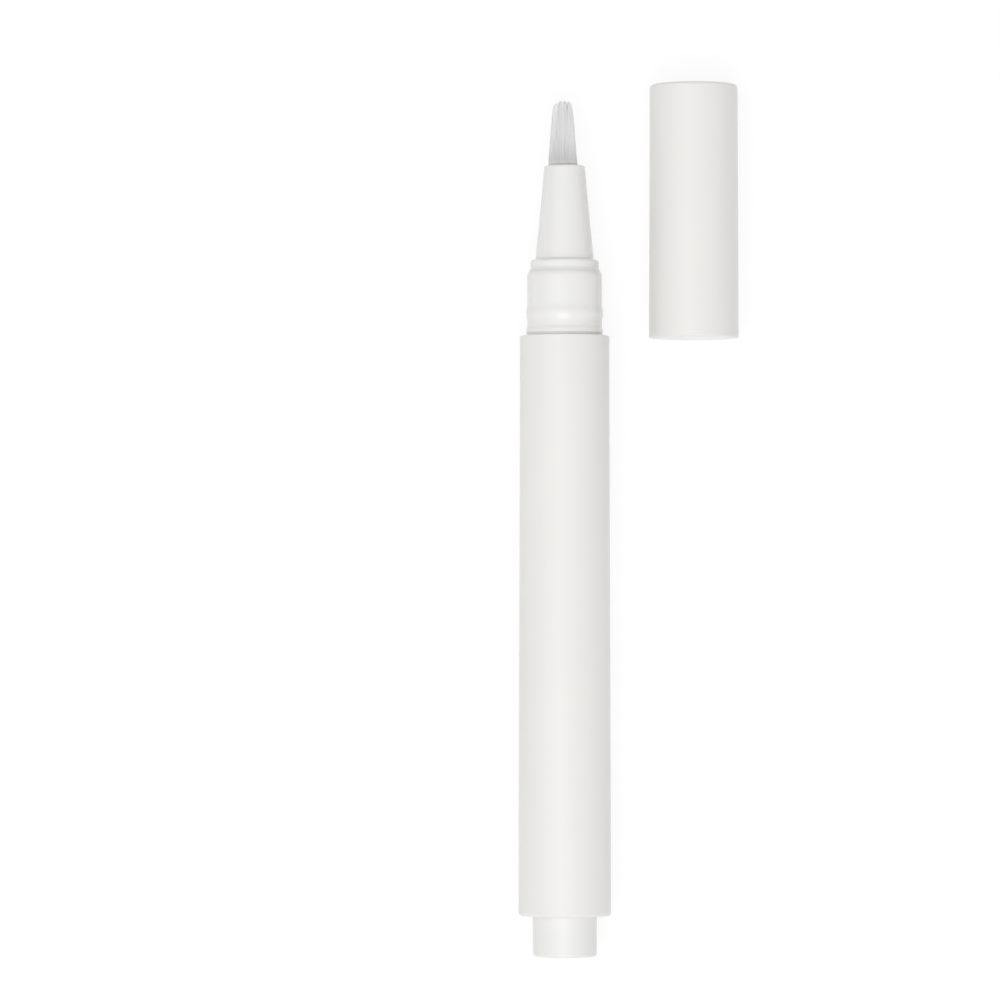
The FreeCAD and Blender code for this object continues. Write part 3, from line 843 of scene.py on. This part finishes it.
def bristle_tree():
    """Hairs round the feed pipe, drawn together along their length and gathered at the tip."""
    lengths = [
        "Hair radius", "Inner radius", "Root radius", "Length", "Free from", "Pipe reach", "Taper",
        "Tip bend", "Bend start", "Edge drop", "Lean", "Lean from", "Lean to", "Uneven tips",
        "Left drop", "Tuft size", "Gather", "Tuft point", "Seed"]
    tree, given, result = geometry_tree("bristles", {
        "Hairs": "Int", **{label: "Float" for label in lengths},
        "Place": "Vector", "Finish": "Material"})
    straight = planted_hairs(tree, given)

    spot = split(tree, add(tree, "GeometryNodeInputPosition").outputs[0])
    luck = chance(tree, joined(tree, X=spot["X"], Y=given["Seed"], Z=spot["Z"]))
    ring_here = length_of(tree, joined(tree, X=spot["X"], Z=spot["Z"]))
    outer_share = calc(tree, "DIVIDE", calc(tree, "SUBTRACT", ring_here, given["Inner radius"]),
                       calc(tree, "SUBTRACT", given["Root radius"], given["Inner radius"]), clamp=True)

    # The tuft that a hair belongs to, from its place at the tip
    tip_r = calc(tree, "SUBTRACT", given["Root radius"], drawn_in(tree, given, given["Length"]))
    tip_squeeze = calc(tree, "DIVIDE", calc(tree, "MULTIPLY", outer_share, tip_r), ring_here)
    tip_x = calc(tree, "MULTIPLY", spot["X"], tip_squeeze)
    tip_z = calc(tree, "MULTIPLY", spot["Z"], tip_squeeze)
    column = calc(tree, "FLOOR", calc(tree, "DIVIDE", tip_x, given["Tuft size"]))
    row = calc(tree, "FLOOR", calc(tree, "DIVIDE", tip_z, given["Tuft size"]))
    tuft_luck = chance(tree, joined(tree, X=column, Y=given["Seed"], Z=row))
    centre_x = tuft_centre(tree, column, tuft_luck["X"], given["Tuft size"])
    centre_z = tuft_centre(tree, row, tuft_luck["Z"], given["Tuft size"])
    to_centre_x = calc(tree, "SUBTRACT", centre_x, tip_x)
    to_centre_z = calc(tree, "SUBTRACT", centre_z, tip_z)

    # How much shorter the hair is than the longest ones
    left = ease(tree, calc(tree, "DIVIDE", centre_x, tip_r), left_from, left_to)
    short_left = calc(tree, "MULTIPLY", left, given["Left drop"])
    short_luck = calc(tree, "MULTIPLY", luck["X"], given["Uneven tips"])
    short_edge = calc(tree, "MULTIPLY", calc(tree, "POWER", outer_share, edge_power),
                      given["Edge drop"])
    off_centre = length_of(tree, joined(tree, X=to_centre_x, Z=to_centre_z))
    off_share = calc(tree, "DIVIDE", off_centre, given["Tuft size"])
    short_tuft = calc(tree, "MULTIPLY", calc(tree, "POWER", off_share, 2.0), given["Tuft point"])
    short = calc(tree, "ADD", calc(tree, "ADD", short_left, short_luck),
                 calc(tree, "ADD", short_edge, short_tuft))
    height = calc(tree, "MULTIPLY", spot["Y"], calc(tree, "SUBTRACT", 1.0, short))
    along = calc(tree, "DIVIDE", height, given["Length"])

    # Its place at each height: drawn in, gathered in its tuft, a little astray, leaning
    outer_r = calc(tree, "SUBTRACT", given["Root radius"], drawn_in(tree, given, height))
    opened = ease(tree, height, given["Length"], given["Pipe reach"])
    inner_r = calc(tree, "MULTIPLY", given["Inner radius"], opened)
    ring_new = calc(tree, "MULTIPLY_ADD", outer_share, calc(tree, "SUBTRACT", outer_r, inner_r), inner_r)
    squeeze = calc(tree, "DIVIDE", ring_new, ring_here)
    pull = calc(tree, "MULTIPLY", calc(tree, "POWER", along, gather_power), given["Gather"])
    x = calc(tree, "MULTIPLY_ADD", to_centre_x, pull, calc(tree, "MULTIPLY", squeeze, spot["X"]))
    z = calc(tree, "MULTIPLY_ADD", to_centre_z, pull, calc(tree, "MULTIPLY", squeeze, spot["Z"]))
    stray = calc(tree, "MULTIPLY", calc(tree, "POWER", along, 2.0), given["Hair radius"])
    x = calc(tree, "MULTIPLY_ADD", calc(tree, "SUBTRACT", luck["Y"], 0.5), stray, x)
    z = calc(tree, "MULTIPLY_ADD", calc(tree, "SUBTRACT", luck["Z"], 0.5), stray, z)
    leaning = ease(tree, height, given["Lean from"], given["Lean to"])
    x = calc(tree, "MULTIPLY_ADD", leaning, given["Lean"], x)
    placed = add(tree, "ShaderNodeVectorMath", {
        0: joined(tree, X=x, Y=height, Z=z), 1: given["Place"]}, operation="ADD")
    shaped = add(tree, "GeometryNodeSetPosition", {
        "Geometry": straight, "Position": placed.outputs[0]})

    way = add(tree, "GeometryNodeSplineParameter").outputs["Factor"]
    thinned = calc(tree, "MULTIPLY", calc(tree, "POWER", way, 2.0), hair_thinning)
    rim = add(tree, "GeometryNodeCurvePrimitiveCircle", {
        "Resolution": hair_sides, "Radius": given["Hair radius"]})
    tubes = add(tree, "GeometryNodeCurveToMesh", {
        "Curve": shaped.outputs[0], "Profile Curve": rim.outputs[0],
        "Scale": calc(tree, "SUBTRACT", 1.0, thinned), "Fill Caps": True})
    close_tree(tree, tubes.outputs[0], given["Finish"], result)
    return tree


def make_bristles():
    def above_root(place):
        """Height in metres above the root of the hairs."""
        return (place - hair_root) * MM

    piece = grown("brush_bristles", bpy.data.meshes.new("brush_seed"), bristle_tree(), {
        "Hairs": hair_count, "Hair radius": hair_r * MM, "Inner radius": (pipe_r + 0.08) * MM,
        "Root radius": (tuft_r - 0.04) * MM, "Length": above_root(brush_tip),
        "Free from": above_root(nozzle_tip), "Pipe reach": above_root(pipe_front),
        "Taper": 0.0717, "Tip bend": 230.0, "Bend start": above_root(nozzle_tip + 5.5),
        "Uneven tips": 0.011, "Left drop": 0.025, "Edge drop": 0.012,
        "Lean": -0.3 * MM, "Lean from": above_root(nozzle_tip - 0.3),
        "Lean to": above_root(nozzle_tip + 0.35),
        "Tuft size": 0.58 * MM, "Gather": 0.8, "Tuft point": 0.03, "Seed": 0.0,
        "Place": (pen_axis.x, pen_start + hair_root * MM, pen_axis.z), "Finish": bristle_nylon()})
    return belongs(piece, "pen_body", "bristle_nylon", "brush_tuft")


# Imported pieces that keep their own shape

def dress_packed_pieces():
    """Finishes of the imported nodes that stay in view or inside."""
    cap_inside_painted_light = ["tuft_ferrule", "pipe_joint", "screw_nut", "screw_rod", "fixed_cam",
              "ratchet_rotor", "cam_plunger"]
    finishes = {name: inner_finish for name in cap_inside_painted_light}
    finishes["feed_pipe"] = pipe_plastic()
    finishes["piston"] = piston_rubber()
    for name, finish in finishes.items():
        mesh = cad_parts[name].data
        mesh.materials.clear()
        mesh.materials.append(finish)


# Table, light and camera

floor_half = 3.0
floor_near, floor_far = 0.2, 0.7
floor_white_near = 0.8
tent_strength = 0.44
lens_mm = 187.39
sensor_mm = 36.0
camera_place_mm = (-18.67, -13.96, 761.7)
camera_aim_mm = 2.88


def seen_ray(tree):
    """1 for what the camera sees straight, in gloss or through clear pieces."""
    path = add(tree, "ShaderNodeLightPath").outputs
    straight = calc(tree, "MAXIMUM", path["Is Camera Ray"], path["Is Glossy Ray"])
    return calc(tree, "MAXIMUM", straight, path["Is Transmission Ray"])


def white_floor():
    """White sweep under the pen: keeps a soft shadow near it and shows plain white far away."""
    material = bpy.data.materials.new("white_sweep")
    material.use_nodes = True
    tree = material.node_tree
    tree.nodes.remove(tree.nodes["Principled BSDF"])
    paper = add(tree, "ShaderNodeBsdfDiffuse", {"Color": (0.9, 0.9, 0.9, 1)})
    glow = add(tree, "ShaderNodeEmission", {"Color": (1, 1, 1, 1), "Strength": 1.05})
    spot = add(tree, "ShaderNodeTexCoord").outputs["Object"]
    far = ease(tree, length_of(tree, spot), floor_near, floor_far)
    white_share = calc(tree, "MULTIPLY_ADD", far, 1 - floor_white_near, floor_white_near)
    share = calc(tree, "MULTIPLY", seen_ray(tree), white_share)
    mixed = add(tree, "ShaderNodeMixShader", {0: share, 1: paper.outputs[0], 2: glow.outputs[0]})
    tree.links.new(mixed.outputs[0], tree.nodes["Material Output"].inputs["Surface"])
    mesh = bpy.data.meshes.new("white_sweep")
    corners = [(-1, -1), (1, -1), (1, 1), (-1, 1)]
    mesh.from_pydata([(x * floor_half, y * floor_half, 0) for x, y in corners], [], [(0, 1, 2, 3)])
    mesh.materials.append(material)
    floor = bpy.data.objects.new("white_sweep", mesh)
    bpy.context.scene.collection.objects.link(floor)


def light_tent():
    """Even white surroundings, shown white."""
    world = bpy.data.worlds.new("light_tent")
    bpy.context.scene.world = world
    world.use_nodes = True
    tree = world.node_tree
    set_inputs(tree.nodes["Background"], {"Strength": tent_strength, "Color": (1, 1, 1, 1)})
    white = add(tree, "ShaderNodeBackground", {"Color": (1, 1, 1, 1), "Strength": 1.0})
    mixed = add(tree, "ShaderNodeMixShader", {
        0: add(tree, "ShaderNodeLightPath").outputs["Is Camera Ray"],
        1: tree.nodes["Background"].outputs[0], 2: white.outputs[0]})
    tree.links.new(mixed.outputs[0], tree.nodes["World Output"].inputs["Surface"])


def lamp(name, place, size, power, glossy=True):
    """Soft rectangular lamp that faces the origin; it may be left out of gloss."""
    light = bpy.data.lights.new(name, "AREA")
    light.shape = "RECTANGLE"
    light.size, light.size_y = size
    light.energy = power
    lit = bpy.data.objects.new(name, light)
    lit.location = place
    lit.rotation_euler = (-Vector(place)).to_track_quat("-Z", "Y").to_euler()
    lit.visible_glossy = glossy
    bpy.context.scene.collection.objects.link(lit)


def make_camera():
    """Almost straight above, a little towards the button, as the photograph is taken."""
    lens = bpy.data.cameras.new("view_from_above")
    lens.sensor_width = sensor_mm
    lens.lens = lens_mm
    lens.clip_start = 0.01
    camera = bpy.data.objects.new("view_from_above", lens)
    camera.location = [v * MM for v in camera_place_mm]
    middle = Vector((camera_place_mm[0] * MM, camera_aim_mm * MM, pen_axis.z))
    camera.rotation_euler = (middle - camera.location).to_track_quat("-Z", "Y").to_euler()
    bpy.context.scene.collection.objects.link(camera)
    bpy.context.scene.camera = camera


make_barrel()
make_neck()
make_nozzle()
make_button()
make_tail_ring()
make_return_spring()
make_cap_shell()
make_cap_liner()
make_bristles()
dress_packed_pieces()
white_floor()
light_tent()
lamp("top_panel", (-0.1, -0.25, 1.3), size=(1.5, 1.3), power=6.85, glossy=False)
lamp("key_softbox", (-0.05, -0.345, 1.06), size=(0.5, 0.3), power=1.6)
lamp("front_softbox", (-0.01, -0.95, 0.6), size=(0.36, 0.3), power=0.85)
lamp("left_panel", (-0.55, 0.05, 1.0), size=(0.8, 1.0), power=1.5)
lamp("right_panel", (0.9, -0.1, 0.6), size=(0.8, 1.0), power=0.35)
make_camera()
bpy.context.scene.view_settings.view_transform = "Standard"
